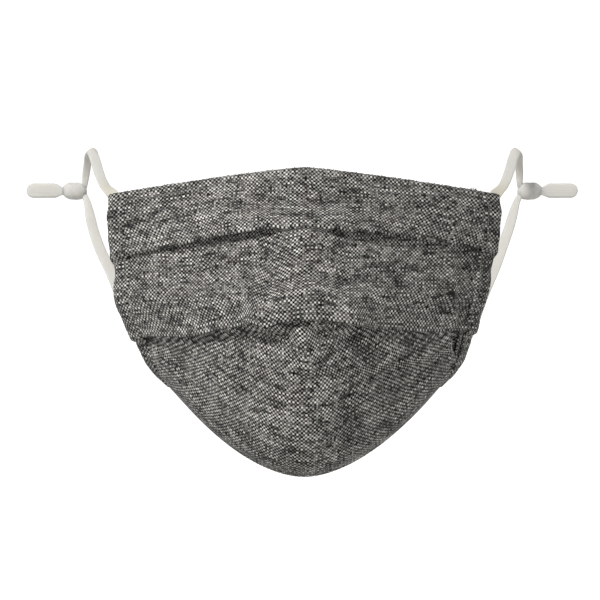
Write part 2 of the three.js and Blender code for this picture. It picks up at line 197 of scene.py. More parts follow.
# The two pleats. shift lowers the edge and gape lifts it off the cloth below, along the share of the width.
pleats = [
    {
        "row": "firstPleat",
        "depth": lambda side: 11.0 * mm * smooth(side, 0.08, 0.5),
        "turn": lambda side: mix(75, 180, smooth(side, 0.05, 0.22)),
        "softness": lambda side: mix(1.3, 1, smooth(side, 0.05, 0.22)),
        "shift": (
            (-1.1, 0.45, 1.6 * mm), (-0.35, 0.3, 1.0 * mm), (0.25, 0.15, 0.8 * mm), (1.1, 0.45, -1.5 * mm),
        ),
        "gape": ((-0.36, 0.24, 3.0 * mm), (0.3, 0.25, 1.5 * mm)),
    },
    {
        "row": "secondPleat",
        "depth": lambda side: mix(4.0 * mm, 11.0 * mm, smooth(side, 0.1, 0.6)),
        "turn": lambda side: mix(170, 180, smooth(side, 0.05, 0.3)),
        "softness": lambda side: mix(1.3, 1, smooth(side, 0.05, 0.3)),
        "shift": (
            (-1.1, 0.5, 1.6 * mm), (-0.66, 0.16, 2.0 * mm), (-0.27, 0.06, -0.8 * mm),
            (-0.17, 0.045, 1.4 * mm), (0.07, 0.13, -1.3 * mm), (0.45, 0.13, 1.0 * mm),
            (0.75, 0.2, 1.5 * mm), (1.1, 0.5, -1.6 * mm),
        ),
        "gape": (
            (-0.5, 0.2, 1.4 * mm), (-0.2, 0.12, 3.6 * mm), (0.26, 0.1, 4.2 * mm), (0.6, 0.2, 0.8 * mm),
        ),
    },
]

body = {
    "columns": 156,
    "crowding": 1.12,
    "wall": 0.7 * mm,
    "pitch": 0.95 * mm,  # from one layer to the next where the cloth is folded
    "hem": 5.0 * mm,
    "ramp": 12.0 * mm,
    "hemRows": 6,
    "turnRows": 8,
    "foldRows": 7,
    "hiddenRows": 7,
    "upperRows": 50,
    "middleRows": 62,
    "chinRows": 78,
    "seam": 3.7 * mm,  # stitch line, from the top or bottom edge
    "lean": ((-50 * mm, 11 * mm, -1.4 * mm), (-86 * mm, 14 * mm, 0.3 * mm)),  # sideways, by height
    "swells": (16 * mm, 0.5 * mm, 3),  # size, height and seed
    "dimples": (6 * mm, 0.16 * mm, 9),
    "ripple": 0.28 * mm,  # beside the casings, where the seam draws the cloth in
    "ripplePitch": 6.5 * mm,
    "rippleFrom": 6.0 * mm,
    "rippleSpread": 7.0 * mm,
    "halfCut": 92 * mm,  # half the cloth's width, about
    "coarser": 0.28,  # how much coarser its weave is drawn at the sides
}

rowStarts = {"upper": body["hemRows"] + body["turnRows"] + 1}
pleatRows = 2 * (body["foldRows"] + body["hiddenRows"])
rowStarts["middle"] = rowStarts["upper"] + body["upperRows"] + pleatRows
rowStarts["chin"] = rowStarts["middle"] + body["middleRows"] + pleatRows
rowStarts["bottomTurn"] = rowStarts["chin"] + body["chinRows"]


def arcPoints(length, height, heading, turn, radius, steps):
    bend = math.copysign(90, turn)
    centre = math.radians(heading + bend)
    middle = (length + radius * math.cos(centre), height + radius * math.sin(centre))
    points = []
    for step in range(steps + 1):
        spoke = math.radians(heading + turn * step / steps - bend)
        points.append((middle[0] + radius * math.cos(spoke), middle[1] + radius * math.sin(spoke), 0))
    return points


def spread(low, high, count):
    return [mix(low, high, (index + 0.5) / count) for index in range(count)]


# Down one column of the folded cloth: length, height off the form, and how free the cloth is to wrinkle
def columnPath(share):
    side = abs(share)
    ruler = columnRuler(share)
    radius = body["pitch"] / 2
    hemTurn = radius + body["wall"] / 2
    path = [(length, -body["pitch"], 0) for length in spread(body["hem"], hemTurn, body["hemRows"])]
    path += arcPoints(hemTurn, -body["pitch"], 180, -180, radius, body["turnRows"])
    panelStart, edge = hemTurn, 0
    for pleat, rows in zip(pleats, (body["upperRows"], body["middleRows"])):
        turn = float(pleat["turn"](side))
        fold = radius * float(pleat["softness"](side))
        hidden = float(pleat["depth"](side))
        cosine, sine = math.cos(math.radians(turn)), math.sin(math.radians(turn))
        rise = 2 * fold * (1 - cosine) + hidden * sine
        gape = hills(share, pleat["gape"])
        nextEdge = float(np.interp(alongOf(pleat["row"]), rulerAlong, ruler))
        nextEdge += hills(share, pleat["shift"])
        foldStart = nextEdge - fold - body["wall"] / 2
        rampEnd = foldStart - hidden - body["pitch"]
        start = max(panelStart, edge)
        rampStart = max(rampEnd - body["ramp"], edge + body["wall"])
        for length in spread(start, foldStart, rows):
            risen = rise * float(smooth(length, rampStart, rampEnd))
            lifted = gape * float(smooth(length, rampStart, foldStart + fold)) ** 1.5
            free = float(smooth(length - start, 0, 6 * mm) * smooth(foldStart - length, 0, 3 * mm))
            path.append((length, risen + lifted, free))
        path += arcPoints(foldStart, rise + gape, 0, -turn, fold, body["foldRows"])
        top = path[-1]
        back = (top[0] + hidden * cosine, top[1] - gape - hidden * sine)
        parts = [step / body["hiddenRows"] for step in range(1, body["hiddenRows"])]
        for part in parts:
            path.append((mix(top[0], back[0], part), mix(top[1], back[1], float(smooth(part, 0, 1))), 0))
        path += arcPoints(*back, -turn, turn, fold, body["foldRows"])
        panelStart = path[-1][0]
        edge = max(nextEdge, panelStart) + body["wall"]
        under = path[-1]
        path += [(mix(under[0], edge, part), mix(under[1], 0, part), 0) for part in parts]
    bottomTurn = ruler[-1] - hemTurn
    for length in spread(edge, bottomTurn, body["chinRows"]):
        free = float(smooth(length - edge, 0, 3 * mm) * smooth(bottomTurn - length, 0, 6 * mm))
        path.append((length, 0, free))
    path += arcPoints(bottomTurn, 0, 0, -180, radius, body["turnRows"])
    path += [(length, -body["pitch"], 0)
             for length in spread(bottomTurn, ruler[-1] - body["hem"], body["hemRows"])]
    return ruler, np.array(path)


# Wrinkles: the panel, both ends across and up from the origin, half width and height, in millimetres
upperPanel, middlePanel, chinPanel = 1, 2, 3
wrinkles = [
    (chinPanel, 5, -73, 16, -64, 1.6, -0.8),
    (chinPanel, 4, -71, 15, -62, 1.4, 0.5),
    (chinPanel, 27, -79, 33, -71, 1.5, -0.5),
    (chinPanel, 25, -78, 31, -70, 1.5, 0.3),
    (middlePanel, -36, -38, -31, -30, 1.3, -0.6),
    (middlePanel, -38, -37, -33, -29, 1.5, 0.4),
    (chinPanel, -1, -56, 1, -72, 3.4, 2.6),  # the ridge below the middle of the second pleat
    (chinPanel, -26, -61, -9, -59, 4.2, -1.7),  # hollows on both sides of it
    (chinPanel, 8, -58, 18, -59, 4.0, -2.0),
    (chinPanel, 17, -66, 34, -58, 2.4, 0.7),
    (middlePanel, -12, -60, -12, -54, 3.0, 0.9),
    (chinPanel, -55, -66, -38, -88, 2.2, 0.7),
    (chinPanel, -50, -66, -34, -86, 2.0, -0.5),
    (chinPanel, 50, -72, 34, -92, 2.4, 0.7),
    (chinPanel, 46, -70, 30, -90, 2.0, -0.5),
    (chinPanel, -30, -90, -12, -104, 2.4, -0.4),
    (middlePanel, 20, -42, 30, -50, 3.0, -0.4),
    (middlePanel, -16, -30, -26, -44, 3.0, -0.4),
    (upperPanel, -50, -14, -44, -26, 2.6, 0.35),
    (upperPanel, 44, -12, 50, -24, 2.8, 0.35),
]
pocket = {  # the small opening beside the right casing, below the second pleat
    "top": -59.5 * mm,
    "bottom": -70.5 * mm,
    "across": 56.4 * mm,
    "half": 1.3 * mm,
    "depth": 4.2 * mm,
    "flap": 3.0 * mm,  # how far the casing's flap draws back there
    "lip": 1.1 * mm,
    "lipHalf": 1.5 * mm,
    "lipAway": 2.6 * mm,
}


def wrinkleHeight(x, z, panel):
    total = np.zeros_like(x)
    for where, x1, z1, x2, z2, half, height in wrinkles:
        start, way = np.array([x1, z1]) * mm, np.array([x2 - x1, z2 - z1]) * mm
        share = ((x - start[0]) * way[0] + (z - start[1]) * way[1]) / (way @ way)
        near = np.clip(share, 0, 1)
        away = np.hypot(x - start[0] - near * way[0], z - start[1] - near * way[1])
        total += (panel == where) * height * mm * hill(away, 0, half * mm)
    return total


def unevenness(points, size, height, seed):  # gentle bumps of the given size, from smooth noise
    shift = Vector((seed, -seed, seed / 2))
    flat = points.reshape(-1, 3) / size
    return np.array([noise.noise(Vector(p) + shift) for p in flat]).reshape(points.shape[:-1]) * height


def lean(points):  # the middle stands a little to the left
    points[..., 0] += hills(points[..., 2], body["lean"])
    return points


def bodyPoints():
    even = np.linspace(-1, 1, body["columns"] + 1)
    shares = curved(even, body["crowding"])
    paths = [columnPath(float(share)) for share in shares]
    along = np.stack([np.interp(path[:, 0], ruler, rulerAlong) for ruler, path in paths], axis=1)
    height = np.stack([path[:, 1] for ruler, path in paths], axis=1)
    free = np.stack([path[:, 2] for ruler, path in paths], axis=1)
    share = np.broadcast_to(shares, along.shape)
    plain = clothPoint(share, along)
    inner = np.clip((1 - np.abs(share)) * 12, 0, 1)
    panel = np.full(len(height), upperPanel)
    panel[rowStarts["middle"]:] = middlePanel
    panel[rowStarts["chin"]:] = chinPanel
    height = height + free * inner * (
        wrinkleHeight(plain[..., 0], plain[..., 2], panel[:, None])
        + unevenness(plain, *body["swells"])
        + unevenness(plain, *body["dimples"])
    )
    x, z = plain[..., 0], plain[..., 2]
    sideWay = (1 - np.abs(share)) * body["halfCut"]  # from the raw side edge
    ripple = np.sin(z * 2 * math.pi / body["ripplePitch"] + 5 * unevenness(plain, 20 * mm, 1, 5))
    height += free * body["ripple"] * ripple * hill(sideWay, body["rippleFrom"], body["rippleSpread"])
    groove = hill(x, pocket["across"], pocket["half"])
    groove *= smooth(z, pocket["bottom"], pocket["bottom"] + 6 * mm) * (free > 0)
    groove *= 1 - smooth(z, pocket["top"], pocket["top"] + 1 * mm)
    height -= groove * pocket["depth"]
    lip = hill(x, pocket["across"] - pocket["lipAway"], pocket["lipHalf"])
    lip *= smooth(z, pocket["bottom"] - 4 * mm, pocket["bottom"] + 4 * mm) * free
    height += lip * pocket["lip"]
    return lean(placeOnCloth(share, along, height))


def weaveSpread(share):  # the weave is drawn coarser towards the sides, which the camera sees at a slant
    return 1 - body["coarser"] * smooth(np.abs(share), 0.2, 0.8)


def wovenPlaces(points):  # place on the flat cloth in millimetres, across and down, for the weave
    acrossStep = lengthOf(np.diff(points, axis=1)) * weaveSpread(np.linspace(-1, 1, points.shape[1])[1:])
    across = np.concatenate([np.zeros((len(points), 1)), np.cumsum(acrossStep, axis=1)], axis=1)
    across -= across[:, points.shape[1] // 2][:, None]
    down = lengthDown(points)
    plain = down.copy()
    centre = points.shape[1] // 2
    middle = slice(rowStarts["middle"] - body["hiddenRows"], rowStarts["chin"] - body["hiddenRows"])
    foldRow = rowStarts["middle"] + body["middleRows"]  # a pleat's edge follows one thread
    down[middle] = plain[middle] - plain[foldRow] + plain[foldRow, centre]
    chin = slice(rowStarts["chin"] - body["hiddenRows"], None)
    down[chin] = plain[chin] - plain[-1] + plain[-1, centre]
    return np.stack([across, -down], axis=-1) / mm


def gridMesh(name, points, places, closed=False):  # a grid bent through the given points
    rows, columns = points.shape[0] - 1, points.shape[1] - 1
    bm = bmesh.new()
    bmesh.ops.create_grid(bm, x_segments=columns, y_segments=rows, size=1)
    bm.verts.ensure_lookup_table()
    flatPoints = points.reshape(-1, 3)
    flatPlaces = places.reshape(-1, 2)
    weave = bm.loops.layers.uv.new("weave")
    for vert in bm.verts:
        vert.co = flatPoints[vert.index]
    for face in bm.faces:
        face.smooth = True
        for loop in face.loops:
            loop[weave].uv = flatPlaces[loop.vert.index]
    if closed:  # a tube: its seam is merged and its ends are filled
        bmesh.ops.remove_doubles(bm, verts=bm.verts, dist=1e-6)
        bmesh.ops.holes_fill(bm, edges=[edge for edge in bm.edges if edge.is_boundary], sides=0)
        bmesh.ops.recalc_face_normals(bm, faces=bm.faces)
    return addPiece(name, bm)


def addPiece(name, bm):
    mesh = bpy.data.meshes.new(name)
    bm.to_mesh(mesh)
    bm.free()
    piece = bpy.data.objects.new(name, mesh)
    bpy.context.scene.collection.objects.link(piece)
    return piece


def thicken(piece, wall):
    solid = piece.modifiers.new("wall", "SOLIDIFY")
    solid.thickness = wall
    solid.offset = 0
    solid.use_even_offset = True
    bpy.context.view_layer.objects.active = piece
    with bpy.context.temp_override(object=piece, active_object=piece, selected_objects=[piece]):
        bpy.ops.object.modifier_apply(modifier=solid.name)


def finishPiece(piece, material, nodes=()):
    piece.data.materials.clear()
    piece.data.materials.append(material)
    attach(piece, "root")
    if nodes:
        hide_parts(*nodes)
    print("piece:", piece.name, len(piece.data.polygons), "faces")


def linear(hexColour):  # sRGB hex to the linear values that a shader takes
    parts = [int(hexColour[index:index + 2], 16) / 255 for index in (1, 3, 5)]
    return [part / 12.92 if part <= 0.04045 else ((part + 0.055) / 1.055) ** 2.4 for part in parts] + [1]


def addNode(tree, kind, settings=None, inputs=None):  # an input takes a value, an output or a node
    node = tree.nodes.new("ShaderNode" + kind)
    for name, value in (settings or {}).items():
        setattr(node, name, value)
    for name, value in (inputs or {}).items():
        if isinstance(value, bpy.types.Node):
            value = value.outputs[0]
        if isinstance(value, bpy.types.NodeSocket):
            tree.links.new(value, node.inputs[name])
        else:
            node.inputs[name].default_value = value
    return node


def newMaterial(name):  # an empty material, and the function that adds nodes to it
    material = bpy.data.materials.new(name)
    material.use_nodes = True
    material.node_tree.nodes.clear()
    return material, functools.partial(addNode, material.node_tree)


# Melange plain weave of cotton and linen: a black warp and a raw white weft, both with thick and thin
# places, which give the eye a grey of fine dark and light specks with short streaks both ways, and no gloss.
# Its threads are drawn about twice as coarse as real ones, so that they stay sharp in a small picture.
weaveLook = {
    "threadPitch": 0.78,  # millimetres, as all lengths of the pattern
    "slubLength": 5.0,  # of one thick or thin place
    "colours": ((0, "#040404"), (0.3, "#1d1c1b"), (0.5, "#595755"), (0.75, "#a8a6a1"), (1, "#e6e4de")),
    "middle": 0.485,
    "crossing": 0.38,  # how much lighter the weft is than the warp
    "yarn": 1.15,  # how much a yarn differs along its length
    "whole": 0.12,  # how much one yarn differs from the next
    "speck": 0.22,  # how much one crossing differs from the next
    "cloud": 0.3,
    # painted shade: how much darker each yarn is drawn at its edges and ends, where it dives between the
    # others
    "crown": 0.26,
    "fibre": 0.3,
    "knots": 0.3,  # dark lumps of warp
    "wander": 1.1,  # how far the threads leave a straight line
    "yarnStep": 7.31,  # from one yarn to the next in the noise
    "hair": (13, 1.6),  # fibres across and along a yarn
    "bump": 0.12 * mm,
}
mixValues = {"data_type": "FLOAT"}
multiplyAdd = {"operation": "MULTIPLY_ADD"}
flatNoise = {"noise_dimensions": "2D"}


def weaveMaterial(name, look, brightness=0.0):
    material, add = newMaterial(name)
    place = add("UVMap", {"uv_map": "weave"})
    wobble = add("TexNoise", flatNoise, {
        "Vector": place, "Scale": 0.07, "Detail": 6.0, "Roughness": 0.7})
    drift = add("VectorMath", multiplyAdd, {
        0: wobble.outputs["Color"], 1: (look["wander"], look["wander"], 0), 2: place})
    thread = add("VectorMath", {"operation": "SCALE"}, {0: drift, "Scale": 1 / look["threadPitch"]})
    cell = add("VectorMath", {"operation": "FLOOR"}, {0: thread})
    number = add("SeparateXYZ", {}, {0: cell})
    over = add("TexChecker", {}, {"Vector": thread, "Scale": 1.0}).outputs["Fac"]

    # One pass for the warp and one for the weft: thick and thin places, the yarn's own tone, its fibres
    slub = look["threadPitch"] / look["slubLength"]
    yarns = []
    for way, offset in ((0, 3.7), (1, 41.3)):
        along, across = (0, slub, 0), (look["yarnStep"], 0, 0)
        hair = look["hair"] + (0,)
        if way == 1:
            along, across = (slub, 0, 0), (0, look["yarnStep"], 0)
            hair = look["hair"][::-1] + (0,)
        lengthwise = add("VectorMath", multiplyAdd, {0: thread, 1: along, 2: (0, 0, offset)})
        slubPlace = add("VectorMath", multiplyAdd, {0: cell, 1: across, 2: lengthwise})
        slubs = add("TexNoise", {"noise_dimensions": "3D"}, {
            "Vector": slubPlace, "Scale": 1.0, "Detail": 1.5, "Roughness": 0.6})
        own = add("TexWhiteNoise", {"noise_dimensions": "1D"}, {"W": number.outputs[way]})
        hairPlace = add("VectorMath", {"operation": "MULTIPLY"}, {0: place, 1: hair})
        hairs = add("TexNoise", flatNoise, {"Vector": hairPlace, "Scale": 1.0, "Detail": 2.0})
        yarns.append((slubs.outputs["Fac"], own.outputs["Value"], hairs.outputs["Fac"]))
    tone, whole, fibre = [add("Mix", mixValues, {0: over, 2: warp, 3: weft}) for warp, weft in zip(*yarns)]

    speck = add("TexWhiteNoise", flatNoise, {"Vector": cell})
    cloud = add("TexNoise", flatNoise, {"Vector": place, "Scale": 0.09, "Detail": 3.0})
    lumps = add("TexNoise", flatNoise, {"Vector": place, "Scale": 0.55, "Detail": 1.0})
    knots = add("MapRange", {"interpolation_type": "SMOOTHSTEP"}, {
        "Value": lumps.outputs["Fac"], 1: 0.64, 2: 0.76})

    # Each yarn is round across its width and dives only at the ends of its float. This profile raises the
    # bump and is also painted into the colour as shade, darker at a yarn's edges and ends
    turns = add("VectorMath", {"operation": "SCALE"}, {0: thread, "Scale": math.pi})
    wave = add("VectorMath", {"operation": "SINE"}, {0: turns})
    arch = add("VectorMath", {"operation": "ABSOLUTE"}, {0: wave})
    arches = add("SeparateXYZ", {}, {0: arch}).outputs
    width = add("Mix", mixValues, {0: over, 2: arches[0], 3: arches[1]})
    length = add("Mix", mixValues, {0: over, 2: arches[1], 3: arches[0]})
    longer = add("Math", {"operation": "POWER"}, {0: length, 1: 0.4})
    crown = add("Math", {"operation": "MULTIPLY"}, {0: width, 1: longer})

    shares = ("yarn", "crossing", "whole", "speck", "cloud", "crown", "fibre")
    middle = look["middle"] + brightness - sum(look[part] * 0.5 for part in shares)
    shade = add("Math", multiplyAdd, {0: tone, 1: look["yarn"], 2: middle})
    # the crown's share is painted shade between the yarns; the other shares are the yarns' own tones
    for part, source in (
        ("crossing", over), ("whole", whole), ("speck", speck.outputs["Value"]),
        ("cloud", cloud.outputs["Fac"]), ("crown", crown), ("fibre", fibre),
    ):
        shade = add("Math", multiplyAdd, {0: source, 1: look[part], 2: shade})
    shade = add("Math", multiplyAdd, {0: knots, 1: -look["knots"], 2: shade})
    ramp = add("ValToRGB", {}, {0: shade})
    stops = ramp.color_ramp.elements
    stops[0].color = linear(look["colours"][0][1])
    stops[1].color = linear(look["colours"][-1][1])
    for position, colour in look["colours"][1:-1]:
        stops.new(position).color = linear(colour)
    relief = add("Math", multiplyAdd, {0: tone, 1: 0.5, 2: crown})
    height = add("Math", multiplyAdd, {0: fibre, 1: 0.3, 2: relief})
    bump = add("Bump", {}, {"Strength": 0.55, "Distance": look["bump"], "Height": height})
    shader = add("BsdfPrincipled", {}, {
        "Base Color": ramp, "Roughness": 0.93, "Specular IOR Level": 0.18,
        "Sheen Weight": 0.06, "Sheen Roughness": 0.45, "Normal": bump})
    add("OutputMaterial", {}, {0: shader})
    return material


# Knitted elastic of nylon over rubber, heat set: fine lengthwise ribs and a soft satin surface, raw
# white with painted shade in the grooves of the knit, a little yellow where it goes into the channel.
elasticLook = {
    "ribPitch": 0.62,  # millimetres
    "coursePitch": 0.5,
    "colour": "#d6d4cf",
    # painted shade in the knit's grooves
    "groove": "#cccac4",
    "aged": "#c6bfa8",
    "glowDepth": (2.2 * mm, 2.1 * mm, 1.9 * mm),  # how deep red, green and blue light goes in
    "bump": 0.03 * mm,
}


def elasticMaterial(name, look):
    material, add = newMaterial(name)
    place = add("UVMap", {"uv_map": "weave"})
    split = add("SeparateXYZ", {}, {0: place}).outputs
    ribWay = add("Math", {"operation": "MULTIPLY"}, {0: split[0], 1: 2 * math.pi / look["ribPitch"]})
    rib = add("Math", {"operation": "SINE"}, {0: ribWay})
    courseWay = add("Math", multiplyAdd, {0: split[1], 1: 2 * math.pi / look["coursePitch"], 2: rib})
    course = add("Math", {"operation": "SINE"}, {0: courseWay})
    fuzz = add("TexNoise", flatNoise, {"Vector": place, "Scale": 3.0, "Detail": 3.0})
    ribs = add("Math", multiplyAdd, {0: fuzz.outputs["Fac"], 1: 0.8, 2: rib})
    knit = add("Math", multiplyAdd, {0: course, 1: 0.3, 2: ribs})
    # the knit's relief also paints shade: its grooves are drawn darker than its ribs
    depth = add("MapRange", {}, {"Value": knit, 1: -1.0, 2: 1.4})
    shadedKnit = add("Mix", {"data_type": "RGBA"}, {
        0: depth, 6: linear(look["groove"]), 7: linear(look["colour"])})
    worn = add("Attribute", {"attribute_name": "aged"})
    coloured = add("Mix", {"data_type": "RGBA"}, {
        0: worn.outputs["Fac"], 6: shadedKnit.outputs[2], 7: linear(look["aged"])})
    bump = add("Bump", {}, {"Strength": 0.5, "Distance": look["bump"], "Height": knit})
    shader = add("BsdfPrincipled", {}, {
        "Base Color": coloured.outputs[2], "Roughness": 0.7, "Specular IOR Level": 0.3,
        "Subsurface Weight": 0.5, "Subsurface Radius": look["glowDepth"], "Subsurface Scale": 1.0,
        "Sheen Weight": 0.25, "Sheen Roughness": 0.4, "Normal": bump})
    add("OutputMaterial", {}, {0: shader})
    return material


# Spun polyester sewing thread, twisted from two plies: dark grey, with painted light on the turns of the
# plies and painted shade between them
threadLook = {"dark": "#4b4a48", "light": "#8c8a85", "twist": 0.45 * mm, "bump": 0.05 * mm}


def threadMaterial(name, look):
    material, add = newMaterial(name)
    place = add("TexCoord").outputs["Object"]
    ply = add("TexWave", {"bands_direction": "DIAGONAL"}, {
        "Vector": place, "Scale": 0.31 / look["twist"], "Distortion": 2.0}).outputs["Fac"]
    # the twist that makes the bump also paints the colour: lighter on each ply's turn, darker between the
    # plies
    ramp = add("ValToRGB", {}, {0: ply})
    ramp.color_ramp.elements[0].color = linear(look["dark"])
    ramp.color_ramp.elements[1].color = linear(look["light"])
    bump = add("Bump", {}, {"Strength": 0.4, "Distance": look["bump"], "Height": ply})
    shader = add("BsdfPrincipled", {}, {
        "Base Color": ramp, "Roughness": 0.6, "Sheen Weight": 0.3, "Normal": bump})
    add("OutputMaterial", {}, {0: shader})
    return material


clothMaterial = weaveMaterial("melangePlainWeave", weaveLook)
casingMaterial = weaveMaterial("melangeWeaveStrip", weaveLook, -0.03)
bandMaterial = elasticMaterial("knittedElastic", elasticLook)
stitchMaterial = threadMaterial("spunThread", threadLook)
print("materials made")


# Body of the mask
points = bodyPoints()
bodyPlaces = wovenPlaces(points)
cloth = gridMesh("bodyCloth", points, bodyPlaces)
thicken(cloth, body["wall"])
finishPiece(cloth, clothMaterial, ["mask_body"])


# Side casings
def flapHeights(lengths, path):  # height of the body's outermost layer beside the casing, softened
    fine = np.linspace(lengths[0], lengths[-1], 600)
    outer = np.zeros_like(fine)
    for (l1, h1, f1), (l2, h2, f2) in zip(path[:-1], path[1:]):
        low, high = min(l1, l2), max(l1, l2)
        inside = (fine >= low) & (fine <= high)
        share = (fine[inside] - l1) / (l2 - l1) if l2 != l1 else 0
        outer[inside] = np.maximum(outer[inside], h1 + (h2 - h1) * share)
    step = fine[1] - fine[0]
    reach = int(casing["softened"] / step)
    padded = np.pad(outer, reach, mode="edge")
    wide = np.max([np.roll(padded, move)[reach:-reach] for move in range(-reach, reach + 1)], axis=0)
    kernel = np.hanning(2 * reach + 3)
    soft = np.convolve(np.pad(wide, reach + 1, mode="edge"), kernel / kernel.sum(), mode="valid")
    return np.interp(lengths, fine, soft[:len(fine)])


def casingPoints(side):
    ruler, path = columnPath(float(side))
    lengths = np.linspace(0, ruler[-1], casing["lengthSteps"] + 1)
    heights = flapHeights(lengths, path)
    reaches = np.linspace(-casing["overlap"], casing["channel"], casing["flapSteps"] + 1)
    section = [(reach, 1.0, 0.0) for reach in reaches]
    for step in range(1, casing["turnSteps"]):
        angle = math.pi * step / casing["turnSteps"]
        turnedOut = casing["channel"] + casing["lift"] * math.sin(angle)
        section.append((turnedOut, (1 + math.cos(angle)) / 2, 1.0))
    section += [(reach, 0.0, 0.0) for reach in reaches[::-1]]
    reach, front, turned = (np.array(values)[None, :] for values in zip(*section))
    length = lengths[:, None]
    inside = casing["cut"] + (ruler[-1] - 2 * casing["cut"]) * length / ruler[-1]
    along = np.interp(mix(inside, length, front), ruler, rulerAlong)
    heightAt = clothPoint(np.full_like(lengths, side), np.interp(lengths, ruler, rulerAlong))[:, 2, None]
    slit = smooth(heightAt, pocket["bottom"] - 2 * mm, pocket["bottom"] + 3 * mm) * (side > 0)
    slit = slit * (1 - smooth(heightAt, pocket["top"], pocket["top"] + 2 * mm)) * (front == 1)
    fromTurn = (casing["channel"] - reach) / (casing["channel"] + casing["overlap"])
    across = reach + slit * pocket["flap"] * fromTurn
    share = side * (1 + across / (formStretch(along) * edgeShare(along)))
    sunk = hill(reach, -casing["overlap"], 0.6 * mm) * casing["edgeDip"]
    middle = mix(sunk - casing["flapLift"], heights[:, None] + casing["flapLift"] - sunk, front)
    channel = hill(reach, casing["channel"] * 0.5, 2.0 * mm) * (1 - turned)
    middle = middle + np.where(front == 1, 1, -0.4) * channel * casing["swell"]
    phase = length * 2 * math.pi / casing["puckerPitch"] + 0.7 * np.sin(length / (9 * mm)) + side
    edgeways = 0.4 + 0.6 * hill(reach, -casing["overlap"], 4 * mm)
    ends = smooth(length, 0, 5 * mm) * smooth(ruler[-1] - length, 0, 5 * mm)
    middle = middle + np.sin(phase) ** 3 * casing["pucker"] * edgeways * ends * (front > 0.5)
    seamway = hill(reach, casing["seam"] - casing["overlap"], 0.45 * mm)
    middle = middle - (front == 1) * seamway * casing["seamDip"]
    made = placeOnCloth(share, along, middle)
    made[..., 0] += side * np.sin(phase * 0.61 + 2) * casing["pucker"] * turned * ends
    return lean(made)


def casingPlaces(points, side):
    across, down = np.meshgrid(lengthDown(points[len(points) // 2]), lengthDown(points[:, 4]))
    start = casing["weaveStart"]
    return np.stack([side * (across * weaveSpread(1) + start[0]), -down - start[1]], axis=-1) / mm


casingGrids = {}
for side, word in ((1, "right"), (-1, "left")):
    grid = casingPoints(side)
    casingGrids[side] = grid
    flat = casingPlaces(grid, side)
    strip = gridMesh("casingStrip" + word.capitalize(), grid, flat)
    thicken(strip, casing["wall"])
    finishPiece(strip, casingMaterial, ["side_casing_" + word])
    size = (np.ptp(flat[..., 0]) * mm / weaveSpread(1), np.ptp(flat[..., 1]) * mm)
print("casings made")


# Ear loops: a flat elastic through the casing's channel, over the ear and into its knot
loop = {
    "width": 4.6 * mm,
    "thickness": 1.0 * mm,
    "reach": 35 * mm,
    "rise": 17.6 * mm,
    "spread": 6.6 * mm,
    "bow": 5 * mm,
    "turnBack": 2.6 * mm,
    "stepsPerStop": 9,
    "sides": 20,
    "channelStops": 12,
    "cup": 1.5 * mm,
    "cupReach": 5 * mm,
    "strandGap": 1.3 * mm,  # from the middle of the two strands to each, where they enter the knot
    "strandIn": 1.0 * mm,  # how far they go into it
    "gathered": 0.45,  # share of the width that is left there
    "aged": (0, 2 * mm, 1 * mm),  # from the mask's top corner to where it is most yellow
    "agedReach": 7 * mm,
}
knot = {
    "length": 9.6 * mm,
    "height": 6.7 * mm,
    "depth": 5.8 * mm,
    "drop": 16.2 * mm,
    "spread": {1: 6.0 * mm, -1: 7.3 * mm},  # right and left, as in the photo
    "reach": 10 * mm,
    "tail": 17.8 * mm,
    "tailHeight": 5.5 * mm,
    "tailDepth": 2.0 * mm,
    "waist": 3.0 * mm,
    "crease": 0.08,
    "creaseTurns": (0.7, 2.7, 4.6),
    "creaseHalf": 0.22,
    "tilt": 0.15 * mm,
    "tailRise": 0.2 * mm,
    "above": 18.2 * mm,  # from the mask's top corner to the top of the drop
}
lowerStrand = [  # way, out at the right and at the left, back, gather
    (0.05, 0.0, 0.05, 0.0, 0.6),
    (0.13, 0.15, 0.32, 0.1, 0.82),
    (0.20, 0.28, 0.52, 0.25, 0.86),
    (0.32, 0.42, 0.68, 0.4, 0.90),
    (0.50, 0.68, 0.52, 0.5, 0.92),
    (0.68, 0.85, 0.45, 0.5, 0.95),
    (0.86, 0.55, 0.30, 0.3, 1.0),
]
upperStrand = [(0.25, 1.9, 0.4), (0.50, 1.9, 0.6), (0.75, 1.2, 0.7), (0.93, 0.8, 0.9)]  # way, out, rise
returnStrand = [  # way, out, back, gather
    (0.10, 0.9, 1.2, 0.8),
    (0.34, 0.9, 2.4, 0.66),
    (0.66, 0.5, 1.8, 0.62),
    (0.90, 0.1, 0.4, 0.5),
]

topCorner = formPoint(np.array(1.0), np.array(0.0))
loopTop = topCorner + np.array([loop["spread"], loop["reach"], loop["rise"]])
knotMiddles = {}
for side, out in knot["spread"].items():
    knotMiddles[side] = topCorner + np.array([
        loop["spread"] + out, loop["reach"] + knot["reach"], knot["above"] - knot["drop"]])
sideways = np.array([1.0, 0.0, 0.0])


def channelStop(ruler, length, height, aside=0.0):
    along = np.array(np.interp(length, ruler, rulerAlong))
    share = 1 + (casing["channel"] / 2 + aside) / (formStretch(along) * edgeShare(along))
    outward = unit(clothPoint(share + probe, along) - clothPoint(share - probe, along))
    return placeOnCloth(share, along, np.array(height)), outward, 1.0


